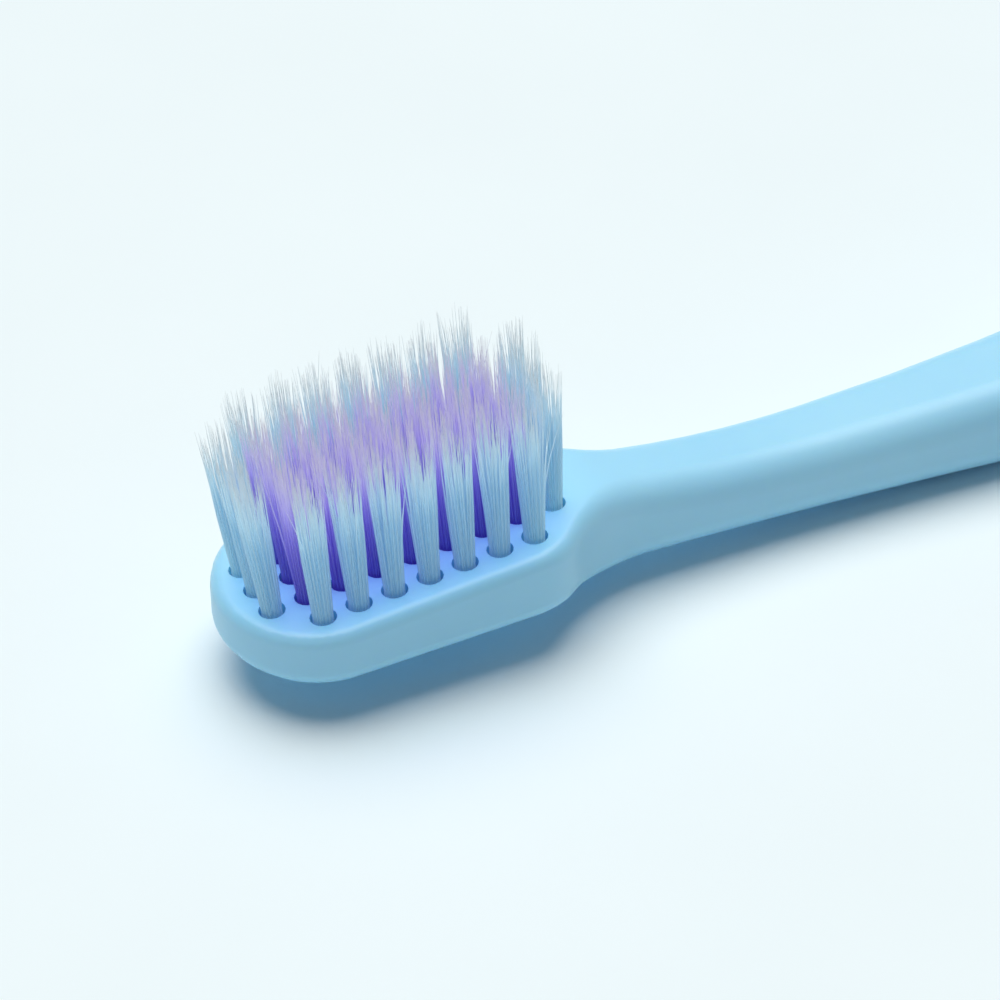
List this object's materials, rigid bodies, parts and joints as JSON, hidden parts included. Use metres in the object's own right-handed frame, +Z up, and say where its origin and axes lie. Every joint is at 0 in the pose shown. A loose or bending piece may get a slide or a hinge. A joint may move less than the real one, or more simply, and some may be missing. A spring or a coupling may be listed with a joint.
{
  "type": "manual toothbrush",
  "caption": "Manual toothbrush with a slim one-piece handle and a rounded rectangular head of stapled bristle tufts, darker in the middle of the field and pale around it.",
  "frame": {"origin": "middle of the brush's length and width, on the surface that it lies on", "axes": "+X from the head's tip to the handle's end, +Y across the brush, +Z up, the way the bristles stand"},
  "size_m": [0.178, 0.0138, 0.0202],
  "materials": {
    "handle_plastic": "satin moulded polypropylene, light blue",
    "pale_filament": "translucent pale blue filament, whitish at the fine tips",
    "purple_filament": "translucent violet-blue filament fading to pale tips",
    "anchor_brass": "bright rolled wire"
  },
  "bodies": {
    "root": {"handle": "handle_plastic", "pale_tuft_row1_col2": "pale_filament", "pale_tuft_row1_col3": "pale_filament", "pale_tuft_row1_col4": "pale_filament", "pale_tuft_row1_col5": "pale_filament", "pale_tuft_row1_col6": "pale_filament", "pale_tuft_row1_col7": "pale_filament", "pale_tuft_row1_col8": "pale_filament", "pale_tuft_row2_col1": "pale_filament", "purple_tuft_row2_col2": "purple_filament", "purple_tuft_row2_col3": "purple_filament", "purple_tuft_row2_col4": "purple_filament", "purple_tuft_row2_col5": "purple_filament", "purple_tuft_row2_col6": "purple_filament", "purple_tuft_row2_col7": "purple_filament", "purple_tuft_row2_col8": "purple_filament", "pale_tuft_row2_col9": "pale_filament", "pale_tuft_row3_col1": "pale_filament", "purple_tuft_row3_col2": "purple_filament", "purple_tuft_row3_col3": "purple_filament", "purple_tuft_row3_col4": "purple_filament", "purple_tuft_row3_col5": "purple_filament", "purple_tuft_row3_col6": "purple_filament", "purple_tuft_row3_col7": "purple_filament", "purple_tuft_row3_col8": "purple_filament", "pale_tuft_row3_col9": "pale_filament", "pale_tuft_row4_col1": "pale_filament", "purple_tuft_row4_col2": "purple_filament", "purple_tuft_row4_col3": "purple_filament", "purple_tuft_row4_col4": "purple_filament", "purple_tuft_row4_col5": "purple_filament", "purple_tuft_row4_col6": "purple_filament", "purple_tuft_row4_col7": "purple_filament", "purple_tuft_row4_col8": "purple_filament", "pale_tuft_row4_col9": "pale_filament", "pale_tuft_row5_col2": "pale_filament", "pale_tuft_row5_col3": "pale_filament", "pale_tuft_row5_col4": "pale_filament", "pale_tuft_row5_col5": "pale_filament", "pale_tuft_row5_col6": "pale_filament", "pale_tuft_row5_col7": "pale_filament", "pale_tuft_row5_col8": "pale_filament", "anchor_plates": "anchor_brass"}
  },
  "joints": []
}
